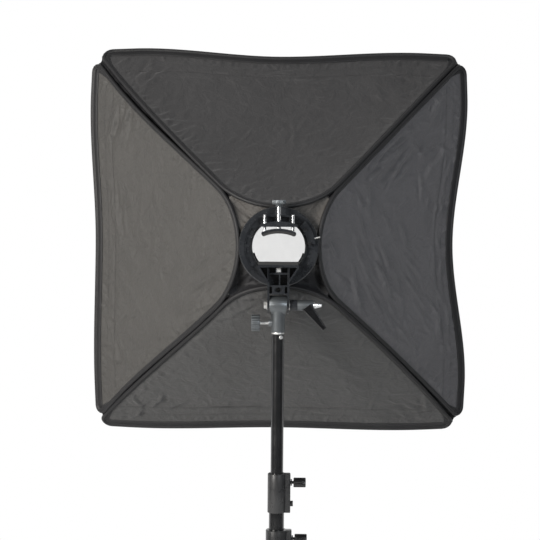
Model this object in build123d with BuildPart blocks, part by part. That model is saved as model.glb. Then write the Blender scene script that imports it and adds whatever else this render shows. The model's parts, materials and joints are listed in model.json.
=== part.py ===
from build123d import *

import os
from math import atan2, cos, radians, sin, sqrt, tan

# Studio softbox, 80 x 80 cm, folding type, on a speedlight bracket and a three-section stand.
# Millimetres. The origin is on the floor, on the axis of the stand's column. +Z is up, the light
# leaves along +Y, and the back of the softbox with its bracket faces -Y.

# ---------------------------------------------------------------- driving dimensions
ring_z = 1250.0  # height of the mount ring's centre

# Column tubes: outer radius, with one wall for all three
wall = 1.5
top_tube_r = 12.5
middle_tube_r = 15.0
lower_tube_r = 17.5
top_tube_length = 620.0
middle_tube_length = 560.0

# Softbox: four flat sprung panels that lean outward from the ring to the front square
rear_r = 79.0  # from the light axis to the hoop wire at the back
rear_y = 22.0
front_r = 394.0  # from the light axis to the hoop wire at the front
front_y = 322.0
hoop_wire_r = 1.5
hoop_gap = 5.5  # from a hoop's side to the ridge line between two panels
hoop_corner_r = 16.0
cloth_inset = 3.0  # from the hoop wire to the edge of the panel's cloth
cloth_t = 1.2
lining_t = 0.6
tape_t = 1.5
tape_width = 25.0
diffuser_t = 1.5

# Mount ring
flange_r = 79.0
barrel_r = 66.0
ring_bore_r = 56.0
ring_step_r = 67.5  # inside it the ring's back face is lower
ring_step = 1.5
light_hole_r = 52.0
ring_rear_y = 10.0
flange_t = 7.0
ring_front_y = 36.0

# Bracket, heights measured from the ring's centre
shelf_z = -38.0
shelf_t = 5.0
shelf_half_x = 40.0
shelf_rear_y = -32.0
shelf_front_y = 12.0
neck_half_x = 21.5
neck_half_y = 17.0
neck_wall = 4.1
neck_bottom_z = -92.0
tilt_z = -114.0
socket_knob_z = -149.0
socket_bottom_z = -167.0
umbrella_z = -83.0
umbrella_r = 4.5
bolt_r = 4.0
nut_z = -44.0
barrel_half_x = 17.0
tilt_barrel_r = 19.0

# Flash clamp
clamp_y = -14.0  # the screw and the guide rods stand in this plane
rod_x = 27.5
rod_r = 3.0
screw_r = 4.0
jaw_top_z = 36.3

# Spigot and its socket
spigot_r = 7.94
socket_r = 13.5
spigot_flange_t = 3.0
running_gap = 0.08
body_gap = 0.3
fixed_gap = 0.04  # round a tube that is held fast
sliding_gap = 0.3  # round a tube that slides
thread_r = 3.0  # every lock screw

# Legs
leg_angles = {"front": 90.0, "left": 210.0, "right": 330.0}
leg_r = 10.0
leg_spread = 50.0  # from the vertical, at rest
pivot_r = 38.0  # from the column's axis to the leg and brace pivots
brace_length = 255.0
brace_hub_z = 60.0
pin_r = 3.0

# ---------------------------------------------------------------- derived places
slant = sqrt((front_r - rear_r) ** 2 + (front_y - rear_y) ** 2)
slope = atan2(front_y - rear_y, front_r - rear_r)
side_angle = atan2(cos(slope), 1)  # half the angle between a hoop's two sides
apex_drop = (rear_r - hoop_gap) / cos(slope)
apex_r = apex_drop / (1 / sin(side_angle) - 1)

tilt_height = ring_z + tilt_z
socket_bottom = ring_z + socket_bottom_z
top_tube_top = socket_bottom - body_gap - spigot_flange_t
collar_height = 77.0
collar_screw_drop = 18.0  # from a collar's top to its lock screw
collar_bolt_drop = 60.0  # and to the bolt that holds it on its tube
collar_bolt_r = 2.5
lug_length = 9.0
upper_collar_top = ring_z - 446.0
lower_collar_top = ring_z - 558.0
tube_end_in_collar = 30.0  # how far a tube's end is below its collar's top
middle_tube_top = upper_collar_top - tube_end_in_collar
lower_tube_top = lower_collar_top - tube_end_in_collar
plug_flange_t = 4.0

leg_hub_z = brace_hub_z + 2 * brace_length * cos(radians(leg_spread))
leg_length = leg_hub_z / cos(radians(leg_spread))

os.makedirs("parts", exist_ok=True)


def save(piece, name):
    """Labels a finished piece and writes it."""
    piece.label = name
    export_step(piece, f"parts/{name}.step")


# ---------------------------------------------------------------- planes
def panel_plane(turn, lift=0.0):
    """Plane of a side panel: local y runs up the slant from the ring, local z points outward."""
    angle = radians(turn)
    outward = Vector(sin(angle), 0, cos(angle))
    across = Vector(cos(angle), 0, -sin(angle))
    normal = outward * sin(slope) - Vector(0, 1, 0) * cos(slope)
    centre = Vector(0, rear_y, ring_z) + outward * rear_r + normal * lift
    return Plane(origin=centre, x_dir=across, z_dir=normal)


def rear_plane(y, z=ring_z):
    """Plane at depth y that faces the back: local x is +X, local y is +Z."""
    return Plane(origin=(0, y, z), x_dir=(1, 0, 0), z_dir=(0, -1, 0))


def side_plane(x, z, right=True):
    """Plane at x that faces +X, or -X: a cylinder drawn on it runs along X."""
    return Plane(origin=(x, 0, z), x_dir=(0, 1, 0), z_dir=(1 if right else -1, 0, 0))


light_axis = Axis((0, 0, ring_z), (0, 1, 0))
panel_turns = {"top": 0.0, "right": 90.0, "bottom": 180.0, "left": 270.0}


# ---------------------------------------------------------------- softbox
def hoop_corners(inset):
    """The three corners and the radii of a hoop's outline, moved inward by inset."""
    drop = apex_drop - inset / sin(side_angle)
    top = slant - inset
    half = (top + drop) * tan(side_angle)
    radii = [hoop_corner_r - inset, hoop_corner_r - inset, apex_r - inset]
    return [(-half, top), (half, top), (0, -drop)], radii


def hoop_outline(inset):
    """The closed outline of a hoop, in the open line builder."""
    points, radii = hoop_corners(inset)
    return FilletPolyline(*points, radius=radii, close=True)


for side, turn in panel_turns.items():
    with BuildPart() as panel:
        with BuildSketch(panel_plane(turn)):
            with BuildLine():
                hoop_outline(cloth_inset)
            make_face()
        extrude(amount=cloth_t)
    save(panel.part, f"panel_{side}")

    with BuildPart() as hoop:
        with BuildLine(panel_plane(turn)) as path:
            hoop_outline(0)
        with BuildSketch(Plane(origin=path.line @ 0, z_dir=path.line % 0)):
            Circle(hoop_wire_r)
        sweep(path=path.line)
    save(hoop.part, f"spring_hoop_{side}")

with BuildPart() as lining:
    for turn in panel_turns.values():
        with BuildSketch(panel_plane(turn, -lining_t)):
            with BuildLine():
                hoop_outline(cloth_inset)
            make_face()
        extrude(amount=lining_t)
save(lining.part, "reflective_lining")

tape_centre = slant - 50.0
tape_half = (tape_centre - tape_width / 2 + apex_drop) * tan(side_angle) - 24.0
with BuildPart() as tape:
    for turn in panel_turns.values():
        with BuildSketch(panel_plane(turn, -lining_t - tape_t)):
            with Locations((0, tape_centre)):
                Rectangle(2 * tape_half, tape_width)
        extrude(amount=tape_t)
save(tape.part, "hook_and_loop_tape")

ridge_start_r = 112.0
ridge_end_r = 374.0
ridge_strip_width = 5.0


def ridge_point(radius, turn):
    """A point on the ridge line between two panels, radius from the light axis along X and Z."""
    angle = radians(turn)
    x, z = sqrt(2) * radius * cos(angle), sqrt(2) * radius * sin(angle)
    return Vector(x, rear_y + (radius - rear_r) * tan(slope), ring_z + z)


with BuildPart() as gussets:
    for turn in (45, 135, 225, 315):
        start, end = ridge_point(ridge_start_r, turn), ridge_point(ridge_end_r, turn)
        across = Vector(-sin(radians(turn)), 0, cos(radians(turn)))
        with BuildSketch(Plane(origin=start, x_dir=across, z_dir=end - start)):
            Rectangle(ridge_strip_width, cloth_t)
        extrude(amount=(end - start).length)
save(gussets.part, "corner_gussets")

rim_centre_r = 69.0
rim_minor_r = 2.4
rear_cloth_r = rim_centre_r + rim_minor_r + 0.4
rear_cloth_end_r = 105.0
rear_cloth_half = rear_r - 5.0
with BuildPart() as rear_cloth:
    with BuildSketch(Plane.XY.offset(ring_z)):
        with BuildLine():
            rise = 0.45 * (rear_cloth_end_r - rear_cloth_r)
            Polyline(
                (rear_cloth_r, rear_y + 2),
                (rear_cloth_end_r, rear_y + 2 + rise),
                (rear_cloth_end_r, rear_y + 2 + rise + cloth_t),
                (rear_cloth_r, rear_y + 2 + cloth_t),
                close=True,
            )
        make_face()
    revolve(axis=light_axis)
    with BuildSketch(rear_plane(rear_y - 10)):
        Rectangle(2 * rear_cloth_half, 2 * rear_cloth_half)
    extrude(amount=-60, mode=Mode.INTERSECT)
save(rear_cloth.part, "rear_centre_panel")

with BuildPart() as rim:
    with BuildSketch(Plane.XY.offset(ring_z)):
        with Locations((rim_centre_r, rear_y + 3)):
            Circle(rim_minor_r)
    revolve(axis=light_axis)
save(rim.part, "elastic_rim")

diffuser_gap = 6.0  # from the hoops' plane to the diffuser's edge, at its depth
diffuser_half = rear_r + tape_centre * cos(slope) - diffuser_gap
diffuser_y = rear_y + (diffuser_half + diffuser_gap - rear_r) * tan(slope)
with BuildPart() as diffuser:
    with BuildSketch(rear_plane(diffuser_y)):
        RectangleRounded(2 * diffuser_half, 2 * diffuser_half, 40)
    extrude(amount=diffuser_t)
save(diffuser.part, "front_diffuser")


# ---------------------------------------------------------------- bracket
def ring_sector(inner, outer, middle, width):
    """A sector of an annulus about the light axis, its middle and width in degrees."""
    with BuildSketch() as sector:
        with BuildLine():
            start = CenterArc((0, 0), outer, middle - width / 2, width)
            finish = CenterArc((0, 0), inner, middle + width / 2, -width)
            Line(start @ 1, finish @ 0)
            Line(finish @ 1, start @ 0)
        make_face()
    return sector.sketch


pocket_angles = [152, 170, 188, 206, 224, 316, 334, 352, 57, 123]
pocket_depth = 4.0
lock_angle = 25.0
lock_height = 8.0
lock_screw_angles = (7, 33)
lock_screw_r = 61.0  # from the light axis
lip_rise = 3.0
web_half_x = 30.0
web_low_z = 46.0
web_top_z = 62.0
web_rear_y = -6.0
bridge_half_x = 37.0
bridge_low_z, bridge_end_z, bridge_high_z = 40.4, 43.5, 51.0
bridge_rear_y = -27.0
release_pin_r = 1.5
release_angle = radians(14)
pin_dir = Vector(cos(release_angle), 0, sin(release_angle))
release_y = ring_rear_y - lock_height / 2
rod_hole_r = rod_r + running_gap
screw_hole_r = screw_r + running_gap
umbrella_recess_x, umbrella_recess_z, umbrella_recess_t = 7.6, 5.0, 7.0
rear_open = neck_half_y + 5.0  # depth of the neck's open cells, which keep a wall in front

with BuildPart() as bracket:
    # mount ring: flange, barrel and the lip that keeps the cloth's rim on the barrel
    with BuildSketch(rear_plane(ring_rear_y + flange_t)):
        Circle(flange_r)
        Circle(ring_bore_r, mode=Mode.SUBTRACT)
    extrude(amount=flange_t)
    chamfer(bracket.edges().filter_by(GeomType.CIRCLE).sort_by(Axis.Y)[:2].sort_by(SortBy.RADIUS)[-1], 2)
    with BuildSketch(rear_plane(ring_front_y)):
        Circle(barrel_r)
        Circle(ring_bore_r, mode=Mode.SUBTRACT)
    extrude(amount=ring_front_y - ring_rear_y - flange_t)
    with BuildSketch(rear_plane(ring_front_y)):
        Circle(barrel_r + lip_rise)
        Circle(ring_bore_r, mode=Mode.SUBTRACT)
    extrude(amount=3)
    with BuildSketch(rear_plane(ring_rear_y)):
        Circle(ring_step_r)
        Circle(ring_bore_r, mode=Mode.SUBTRACT)
    extrude(amount=-ring_step, mode=Mode.SUBTRACT)
    with BuildSketch(rear_plane(ring_rear_y)):
        for angle in pocket_angles:
            add(ring_sector(57.5, 64.5, angle, 13))
    extrude(amount=-pocket_depth, mode=Mode.SUBTRACT)
    # housing of the bayonet lock
    with BuildSketch(rear_plane(ring_rear_y + ring_step)):
        add(ring_sector(57, 72, lock_angle, 40))
    extrude(amount=lock_height + ring_step)
    # arched bridge over the flash head, and the ribbed web above it
    with BuildSketch(rear_plane(ring_rear_y + flange_t)):
        with BuildLine():
            Polyline(
                (bridge_half_x, bridge_end_z), (bridge_half_x, bridge_low_z),
                (-bridge_half_x, bridge_low_z), (-bridge_half_x, bridge_end_z),
            )
            ThreePointArc((-bridge_half_x, bridge_end_z), (0, bridge_high_z), (bridge_half_x, bridge_end_z))
        make_face()
    extrude(amount=ring_rear_y + flange_t - bridge_rear_y)
    with BuildSketch(rear_plane(ring_rear_y + flange_t)):
        with Locations((0, (web_low_z + web_top_z) / 2)):
            Rectangle(2 * web_half_x, web_top_z - web_low_z)
    extrude(amount=ring_rear_y + flange_t - web_rear_y)
    with BuildSketch(rear_plane(web_rear_y)):
        with Locations((-13, 54.5), (13, 54.5)):
            Rectangle(15, 9)
    extrude(amount=-10, mode=Mode.SUBTRACT)
    # shelf under the flash head and its two side struts
    with BuildSketch(rear_plane(shelf_front_y)):
        with Locations((0, shelf_z + shelf_t / 2)):
            Rectangle(2 * shelf_half_x, shelf_t)
        for hand in (-1, 1):
            with BuildLine():
                Polyline(
                    (hand * (neck_half_x - 1), shelf_z + 0.5),
                    (hand * shelf_half_x, shelf_z + 0.5),
                    (hand * shelf_half_x, shelf_z - 2),
                    (hand * (neck_half_x - 1), shelf_z - 30),
                    close=True,
                )
            make_face()
    extrude(amount=shelf_front_y - shelf_rear_y)
    with BuildSketch(rear_plane(shelf_rear_y)):
        for hand in (-1, 1):
            with BuildLine():
                Polyline(
                    (hand * neck_half_x, shelf_z - 0.5),
                    (hand * (shelf_half_x - 4), shelf_z - 0.5),
                    (hand * neck_half_x, shelf_z - 24),
                    close=True,
                )
            make_face()
    extrude(amount=-38, mode=Mode.SUBTRACT)
    # neck: a channel open to the back, with ribs, the nut's seat and the umbrella block
    with BuildSketch(rear_plane(neck_half_y)):
        with Locations((0, (shelf_z + neck_bottom_z) / 2)):
            Rectangle(2 * neck_half_x, shelf_z - neck_bottom_z)
    extrude(amount=2 * neck_half_y)
    with BuildSketch(rear_plane(-neck_half_y)):
        inner = neck_half_x - neck_wall
        with Locations((-12, -45), (12, -45)):
            Rectangle(2 * inner - 24, 9)
        with Locations((-8.2, -63.5)):
            Rectangle(2 * inner - 16.4, 21)
        with Locations((10.4, -63.5)):
            Rectangle(2 * inner - 20.8, 21)
        with Locations((-14.9, -83), (14.9, -83)):
            Rectangle(5, 13)
    extrude(amount=-rear_open, mode=Mode.SUBTRACT)
    with BuildSketch(rear_plane(-neck_half_y)):
        with Locations((0, nut_z)):
            Rectangle(10.2, 10.2)
    extrude(amount=-9, mode=Mode.SUBTRACT)
    with BuildSketch(rear_plane(neck_half_y)):
        with Locations((0, umbrella_z)):
            Circle(umbrella_r)
    extrude(amount=2 * neck_half_y, mode=Mode.SUBTRACT)
    with BuildSketch(rear_plane(-neck_half_y)):
        with Locations((0, umbrella_z)):
            Ellipse(umbrella_recess_x, umbrella_recess_z)
    extrude(amount=-umbrella_recess_t, mode=Mode.SUBTRACT)
    # clevis cheeks on both sides of the tilt barrel
    for hand in (-1, 1):
        with BuildSketch(side_plane(hand * (neck_half_x - neck_wall / 2), tilt_height)):
            with Locations((0, (neck_bottom_z - tilt_z) / 2 + 1)):
                Rectangle(2 * neck_half_y, neck_bottom_z - tilt_z + 2)
            Circle(neck_half_y)
            Circle(bolt_r + running_gap, mode=Mode.SUBTRACT)
        extrude(amount=neck_wall / 2, both=True)
    # the light's way through everything that crosses the ring
    with BuildSketch(rear_plane(ring_front_y)):
        Circle(ring_bore_r)
    extrude(amount=ring_front_y - ring_rear_y + 2.3, mode=Mode.SUBTRACT)
    # holes for the guide rods and the clamp screw
    with BuildSketch(Plane(origin=(0, clamp_y, ring_z + 30), x_dir=(1, 0, 0), z_dir=(0, 0, 1))):
        with Locations((-rod_x, 0), (rod_x, 0)):
            Circle(rod_hole_r)
        Circle(screw_hole_r)
    extrude(amount=24, mode=Mode.SUBTRACT)
    # radial hole of the release pin
    with BuildSketch(Plane(origin=Vector(0, release_y, ring_z) + pin_dir * 60, z_dir=pin_dir)):
        Circle(release_pin_r + running_gap)
    extrude(amount=20, mode=Mode.SUBTRACT)
save(bracket.part, "bracket_body")

with BuildPart() as bayonet:
    with BuildSketch(rear_plane(ring_front_y)):
        Circle(ring_bore_r - 0.05)
        Circle(light_hole_r, mode=Mode.SUBTRACT)
    extrude(amount=ring_front_y - ring_rear_y + 2)
    with BuildSketch(rear_plane(ring_front_y)):
        for angle in (90, 210, 330):
            add(ring_sector(light_hole_r - 3, light_hole_r + 1, angle, 30))
    extrude(amount=5)
save(bayonet.part, "bayonet_ring")

screw_head_r = 3.6
screw_head_t = 1.8
with BuildPart() as flange_screws:
    for angle in lock_screw_angles:
        x, z = lock_screw_r * cos(radians(angle)), lock_screw_r * sin(radians(angle))
        with BuildSketch(rear_plane(ring_rear_y - lock_height)):
            with Locations((x, z)):
                Circle(screw_head_r)
        extrude(amount=screw_head_t)
        with BuildSketch(rear_plane(ring_rear_y - lock_height - screw_head_t)):
            with Locations((x, z)):
                RegularPolygon(screw_head_r / 2, 6)
        extrude(amount=-screw_head_t * 0.6, mode=Mode.SUBTRACT)
save(flange_screws.part, "flange_screws")

with BuildPart() as shelf_pad:
    with BuildSketch(Plane.XY.offset(ring_z + shelf_z + shelf_t)):
        with Locations((0, (shelf_rear_y + 10) / 2)):
            RectangleRounded(2 * shelf_half_x, 10 - shelf_rear_y, 3)
    extrude(amount=4)
    fillet(shelf_pad.edges().group_by(Axis.Z)[-1], 1)
save(shelf_pad.part, "shelf_pad")

with BuildPart() as square_nut:
    with BuildSketch(rear_plane(-neck_half_y + 7, ring_z + nut_z)):
        Rectangle(10, 10)
    extrude(amount=5)
    chamfer(square_nut.faces().sort_by(Axis.Y)[0].edges(), 0.8)
save(square_nut.part, "square_nut")

with BuildPart() as release_pin:
    with BuildSketch(Plane(origin=Vector(0, release_y, ring_z) + pin_dir * 60.2, z_dir=pin_dir)):
        Circle(release_pin_r)
    extrude(amount=23)
save(release_pin.part, "release_pin")

# tilt bolt with a hex head on the left and a washer against each cheek
with BuildPart() as pivot_bolt:
    with BuildSketch(side_plane(neck_half_x + 15.3, tilt_height, right=False)):
        Circle(bolt_r)
    extrude(amount=2 * neck_half_x + 15.3)
    for hand in (-1, 1):
        with BuildSketch(side_plane(hand * neck_half_x, tilt_height, right=hand > 0)):
            Circle(9.5)
        extrude(amount=1.2)
    with BuildSketch(side_plane(-neck_half_x - 1.2, tilt_height, right=False)):
        RegularPolygon(7.5, 6)
    extrude(amount=5.5)
    chamfer(pivot_bolt.faces().sort_by(Axis.X)[0].edges(), 0.8)
save(pivot_bolt.part, "pivot_bolt")


def toothed_circle(radius, count, tooth):
    """A circle with count round notches in its edge, in the open sketch builder."""
    Circle(radius)
    with PolarLocations(radius + tooth * 0.4, count):
        Circle(tooth, mode=Mode.SUBTRACT)


with BuildPart() as ratchet_ring:
    with BuildSketch(side_plane(neck_half_x + 1.5, tilt_height)):
        toothed_circle(11, 24, 0.9)
        Circle(bolt_r + running_gap, mode=Mode.SUBTRACT)
    extrude(amount=13.8)
save(ratchet_ring.part, "ratchet_ring")

lever_x = neck_half_x + 15.6
lever_hub_length = 32.0
lever_hub_r = 10.5
lever_tip_x = 91.0
lever_tip_z = -46.0
arm_y = -7.0
button_r = 7.0
button_length = 16.0
with BuildPart() as lever_hub:
    with BuildSketch(side_plane(lever_x, tilt_height)):
        Circle(lever_hub_r)
    extrude(amount=lever_hub_length)
    chamfer(lever_hub.edges().filter_by(GeomType.CIRCLE), 0.8)
save(lever_hub.part, "lever_hub")

# the lever's arm passes its hub on the front side and is cut to the hub's surface
with BuildPart() as tilt_lever:
    arm_start = Vector(lever_x + 19, arm_y, tilt_height - 2)
    arm_end = Vector(lever_tip_x, arm_y, tilt_height + lever_tip_z)
    arm_dir = arm_end - arm_start
    with BuildSketch(Plane(origin=arm_start, x_dir=(0, 1, 0), z_dir=arm_dir)):
        RectangleRounded(13, 22, 3)
    with BuildSketch(Plane(origin=arm_end, x_dir=(0, 1, 0), z_dir=arm_dir)):
        RectangleRounded(8, 9, 2.5)
    loft()
    fillet(tilt_lever.faces().sort_by(Axis.Z)[0].edges(), 1)
    with BuildSketch(side_plane(lever_x, tilt_height)):
        Circle(lever_hub_r)
    extrude(amount=lever_hub_length, mode=Mode.SUBTRACT)
    with BuildSketch(side_plane(lever_x + lever_hub_length, tilt_height)):
        Circle(button_r + body_gap)
    extrude(amount=button_length, mode=Mode.SUBTRACT)
save(tilt_lever.part, "tilt_lever")

with BuildPart() as lever_button:
    with BuildSketch(side_plane(lever_x + lever_hub_length, tilt_height)):
        Circle(button_r)
    with BuildSketch(side_plane(lever_x + lever_hub_length + button_length, tilt_height)):
        Circle(2.8)
    loft()
    fillet(lever_button.edges().sort_by(Axis.X)[-1], 1.5)
save(lever_button.part, "lever_button")

# clamp jaw with its rubber pad, two guide rods and the screw with a knurled knob
jaw_front_y, jaw_rear_y = 4.0, -26.0
jaw_bend = 85.0  # radius of the jaw's arched top
jaw_half_angle = 24.3
jaw_low_z = 32.3
jaw_pad_low_z = 27.5
rod_bottom_z, rod_top_z = 28.8, 63.6


def jaw_layer(low, high, rounded, radius):
    """A layer of the arched jaw, its middle from low to high. The slice rounded picks the corners
    to round, from the innermost to the outermost."""
    centre_z = jaw_top_z - jaw_bend
    with BuildSketch() as layer:
        with Locations((0, centre_z)):
            add(ring_sector(low - centre_z, high - centre_z, 90, 2 * jaw_half_angle))
        corners = layer.vertices().sort_by(lambda corner: corner.X**2 + (corner.Y - centre_z) ** 2)
        fillet(corners[rounded], radius)
    return layer.sketch


with BuildPart() as jaw:
    with BuildSketch(rear_plane(jaw_front_y)):
        add(jaw_layer(jaw_low_z, jaw_top_z, slice(2, 4), 3.2))
    extrude(amount=jaw_front_y - jaw_rear_y)
    with BuildSketch(Plane(origin=(0, clamp_y, ring_z + rod_bottom_z), z_dir=(0, 0, 1))):
        with Locations((-rod_x, 0), (rod_x, 0)):
            Circle(rod_r + 0.02)
    extrude(amount=10, mode=Mode.SUBTRACT)
save(jaw.part, "clamp_jaw")

with BuildPart() as jaw_pad:
    with BuildSketch(rear_plane(jaw_front_y + 1)):
        add(jaw_layer(jaw_pad_low_z, jaw_low_z, slice(0, 2), 3.8))
    extrude(amount=jaw_front_y - jaw_rear_y + 2)
save(jaw_pad.part, "jaw_pad")

with BuildPart() as rods:
    with BuildSketch(Plane.XY.offset(ring_z + rod_bottom_z)):
        with Locations((-rod_x, clamp_y), (rod_x, clamp_y)):
            Circle(rod_r)
    extrude(amount=rod_top_z - rod_bottom_z)
    chamfer(rods.edges().group_by(Axis.Z)[-1], 0.6)
save(rods.part, "guide_rods")

with BuildPart() as clamp_screw:
    with BuildSketch(Plane.XY.offset(ring_z + jaw_top_z + body_gap)):
        with Locations((0, clamp_y)):
            Circle(screw_r)
    extrude(amount=88 - jaw_top_z - body_gap)
save(clamp_screw.part, "clamp_screw")

with BuildPart() as clamp_knob:
    knob_place = Plane(origin=(0, clamp_y, ring_z + 79), x_dir=(1, 0, 0), z_dir=(0, 0, 1))
    with BuildSketch(knob_place):
        Circle(7)
    extrude(amount=5)
    with BuildSketch(knob_place.offset(5)):
        toothed_circle(13, 30, 0.9)
    extrude(amount=8)
    with BuildSketch(knob_place):
        Circle(screw_r)
    extrude(amount=9, mode=Mode.SUBTRACT)
save(clamp_knob.part, "clamp_knob")

# stand socket: tilt barrel, tapered neck, spigot bore and the boss of the lock screw
bore_depth = 44.0
with BuildPart() as socket:
    with BuildSketch(side_plane(-barrel_half_x, tilt_height)):
        Circle(tilt_barrel_r)
    extrude(amount=2 * barrel_half_x)
    with BuildSketch(rear_plane(tilt_barrel_r, tilt_height)):
        with BuildLine():
            Polyline(
                (-barrel_half_x, tilt_barrel_r),
                (barrel_half_x, tilt_barrel_r),
                (barrel_half_x, -4),
                (socket_r, -tilt_barrel_r),
                (-socket_r, -tilt_barrel_r),
                (-barrel_half_x, -4),
                close=True,
            )
        make_face()
    extrude(amount=2 * tilt_barrel_r, mode=Mode.INTERSECT)
    with BuildSketch(Plane.XY.offset(tilt_height - 8)):
        Circle(16.5)
    with BuildSketch(Plane.XY.offset(tilt_height - 26)):
        Circle(socket_r)
    loft()
    with BuildSketch(Plane.XY.offset(socket_bottom)):
        Circle(socket_r)
    extrude(amount=tilt_height - 26 - socket_bottom)
    with BuildSketch(side_plane(0, ring_z + socket_knob_z, right=False)):
        Circle(7)
    extrude(amount=19)
    with BuildSketch(Plane.XY.offset(socket_bottom)):
        Circle(spigot_r + running_gap)
    extrude(amount=bore_depth, mode=Mode.SUBTRACT)
    with BuildSketch(side_plane(-barrel_half_x - 1, tilt_height)):
        Circle(bolt_r + running_gap)
    extrude(amount=2 * barrel_half_x + 2, mode=Mode.SUBTRACT)
    with BuildSketch(side_plane(-spigot_r, ring_z + socket_knob_z, right=False)):
        Circle(thread_r + running_gap)
    extrude(amount=14, mode=Mode.SUBTRACT)
save(socket.part, "stand_socket")


def clamp_screw_along(plane, length, collar_at=None):
    """A plain clamping screw that starts at the plane, with an optional flange."""
    with BuildPart() as screw:
        with BuildSketch(plane):
            Circle(thread_r)
        extrude(amount=length)
        if collar_at is not None:
            with BuildSketch(plane.offset(collar_at)):
                Circle(6.5)
            extrude(amount=2.4)
    return screw.part


def lobed_knob(plane, radius, length, lobes, notch, screw_depth):
    """A knob with a notched grip on the plane, bored for its screw."""
    with BuildPart() as knob:
        with BuildSketch(plane):
            toothed_circle(radius, lobes, notch)
        extrude(amount=length)
        chamfer(knob.edges().filter_by(GeomType.CIRCLE).filter_by(lambda e: e.radius > radius * 0.9), 1)
        with BuildSketch(plane):
            Circle(thread_r)
        extrude(amount=screw_depth, mode=Mode.SUBTRACT)
    return knob.part


knob_height = ring_z + socket_knob_z
save(clamp_screw_along(side_plane(-8.5, knob_height, right=False), 35), "socket_screw")
save(lobed_knob(side_plane(-35.5, knob_height, right=False), 16.3, 17, 14, 1.8, 8), "socket_knob")

# ---------------------------------------------------------------- stand column
# the rivet that pins the spigot in the top tube
rivet_dir = Vector(sin(radians(27)), -cos(radians(27)), 0)
with BuildPart() as rivet:
    rivet_place = Vector(0, 0, ring_z - 176) + rivet_dir * top_tube_r
    with BuildSketch(Plane(origin=rivet_place, z_dir=rivet_dir)):
        Circle(4)
    extrude(amount=2)
    fillet(rivet.edges().filter_by(GeomType.CIRCLE).sort_by(SortBy.DISTANCE)[-1], 1.2)

with BuildPart() as spigot:
    with BuildSketch(Plane.XY.offset(top_tube_top)):
        Circle(top_tube_r)
    extrude(amount=spigot_flange_t)
    with BuildSketch(Plane.XY.offset(top_tube_top)):
        Circle(top_tube_r - wall - 0.1)
    extrude(amount=-30)
    with BuildSketch(Plane.XY.offset(top_tube_top + spigot_flange_t)):
        Circle(spigot_r)
    extrude(amount=34)
    with BuildSketch(Plane.XY.offset(top_tube_top + spigot_flange_t + 34)):
        Circle(4.75)
    extrude(amount=8)
    with BuildSketch(Plane.XY.offset(top_tube_top + spigot_flange_t + 12)):
        Circle(spigot_r + 1)
        Circle(spigot_r - 1.4, mode=Mode.SUBTRACT)
    extrude(amount=12, mode=Mode.SUBTRACT)
    add(rivet.part)
save(spigot.part, "spigot")


def tube(radius, bottom, top, name):
    """A plain round tube of the column."""
    with BuildPart() as pipe:
        with BuildSketch(Plane.XY.offset(bottom)):
            Circle(radius)
            Circle(radius - wall, mode=Mode.SUBTRACT)
        extrude(amount=top - bottom)
    save(pipe.part, name)


tube(top_tube_r, top_tube_top - top_tube_length, top_tube_top, "top_tube")
tube(middle_tube_r, middle_tube_top - middle_tube_length, middle_tube_top, "middle_tube")
tube(lower_tube_r, plug_flange_t, lower_tube_top, "lower_tube")



def make_collar(top, outer_r, held_r, sliding_r):
    """A column collar: fixed on the tube of radius held_r, the next tube slides through it."""
    bottom = top - collar_height
    lug_end = outer_r + lug_length
    with BuildPart() as collar:
        with BuildSketch(Plane.XY.offset(bottom)):
            Circle(outer_r)
            with Locations((lug_end / 2, 0)):
                Rectangle(lug_end, 17)
        extrude(amount=collar_height)
        fillet(collar.edges().filter_by(Axis.Z).group_by(Axis.X)[-1], 3)
        with BuildSketch(Plane.XY.offset(bottom)):
            Circle(held_r + fixed_gap)
        extrude(amount=collar_height - tube_end_in_collar, mode=Mode.SUBTRACT)
        with BuildSketch(Plane.XY.offset(bottom)):
            Circle(sliding_r + sliding_gap)
        extrude(amount=collar_height, mode=Mode.SUBTRACT)
        chamfer(collar.faces().sort_by(Axis.Z)[-1].outer_wire().edges(), 1.2)
        for drop, radius in ((collar_screw_drop, thread_r + running_gap), (collar_bolt_drop, collar_bolt_r)):
            with BuildSketch(side_plane(held_r + 0.5, top - drop)):
                Circle(radius)
            extrude(amount=30, mode=Mode.SUBTRACT)
        with BuildSketch(side_plane(sliding_r, top - collar_screw_drop)):
            Circle(thread_r + running_gap)
        extrude(amount=10, mode=Mode.SUBTRACT)
    return collar.part


def make_collar_bolt(top, outer_r, held_r):
    """Socket-head bolt that holds a collar on its tube."""
    with BuildPart() as bolt:
        with BuildSketch(side_plane(held_r + 0.6, top - collar_bolt_drop)):
            Circle(collar_bolt_r - 0.05)
        extrude(amount=outer_r + lug_length - held_r)
        with BuildSketch(side_plane(outer_r + lug_length, top - collar_bolt_drop)):
            Circle(5.5)
        extrude(amount=5)
        with BuildSketch(side_plane(outer_r + lug_length + 5, top - collar_bolt_drop)):
            RegularPolygon(2.6, 6)
        extrude(amount=-3, mode=Mode.SUBTRACT)
    return bolt.part


collars = {
    "upper_collar": (upper_collar_top, 18.0, middle_tube_r, top_tube_r),
    "lower_collar": (lower_collar_top, 21.0, lower_tube_r, middle_tube_r),
}
for name, (top, outer_r, held_r, sliding_r) in collars.items():
    save(make_collar(top, outer_r, held_r, sliding_r), name)
    save(make_collar_bolt(top, outer_r, held_r), f"{name}_bolt")
    knob_x = outer_r + 15
    screw_start = sliding_r + sliding_gap + 0.1
    start = side_plane(screw_start, top - collar_screw_drop)
    length = knob_x + 8 - screw_start
    flange_at = outer_r + lug_length + 0.4 - screw_start
    save(clamp_screw_along(start, length, flange_at), f"{name}_screw")
    save(lobed_knob(side_plane(knob_x, top - collar_screw_drop), 9.5, 24, 6, 2.6, 8.5), f"{name}_knob")

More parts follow.
